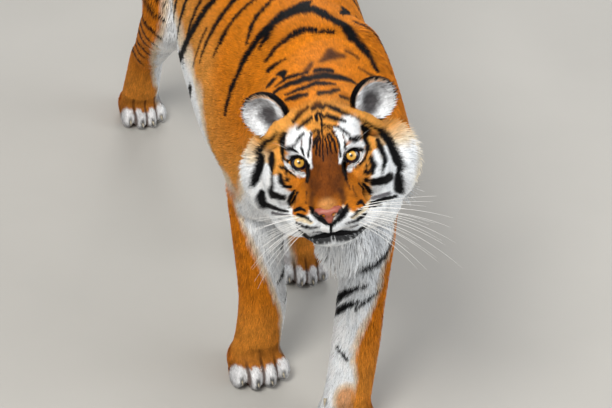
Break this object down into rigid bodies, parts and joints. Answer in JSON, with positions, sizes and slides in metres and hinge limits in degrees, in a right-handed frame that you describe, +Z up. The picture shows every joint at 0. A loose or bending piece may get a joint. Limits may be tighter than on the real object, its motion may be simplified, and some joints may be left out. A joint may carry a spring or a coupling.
{
  "type": "tiger",
  "caption": "Life-size still model of a walking tiger, head turned to its right, mouth closed, tail carried low in a curve, standing on its own four paws.",
  "frame": {"origin": "on the ground, under the centre of the whole animal's bounding box", "axes": "the trunk lies along Y with the head end at -Y and the tail at +Y, +X is the tiger's left side, +Z is up"},
  "size_m": [0.421, 2.1942, 0.9365],
  "materials": {
    "coat": "short dense fur, rust orange with black stripes and white underparts",
    "pale_coat": "white fur of the chin and jaw",
    "ear_coat": "ear fur: pale and long inside, black outside with a white spot",
    "paw_coat": "very short pale fur of the paws",
    "nose_skin": "moist pink-brown bare skin, finely pebbled",
    "eye": "wet glassy eye with a yellow-gold iris and a round black pupil",
    "claw": "horn claws, mostly sheathed",
    "whisker": "long stiff white whiskers",
    "lip": "black moist lip and eyelid skin"
  },
  "bodies": {
    "root": {"neck": "coat", "chest": "coat", "belly": "coat", "rump": "coat", "head": "coat", "lower_jaw": "pale_coat", "nose_pad": "nose_skin", "eye_left": "eye", "ear_left": "ear_coat", "eye_right": "eye", "ear_right": "ear_coat", "tail_root": "coat", "tail_middle": "coat", "tail_tip": "coat", "fore_right_upper_arm": "coat", "fore_right_forearm": "coat", "fore_right_paw": "paw_coat", "fore_left_upper_arm": "coat", "fore_left_forearm": "coat", "fore_left_paw": "paw_coat", "hind_right_thigh": "coat", "hind_right_shank": "coat", "hind_right_hock": "coat", "hind_right_paw": "paw_coat", "hind_left_thigh": "coat", "hind_left_shank": "coat", "hind_left_hock": "coat", "hind_left_paw": "paw_coat"}
  },
  "joints": []
}
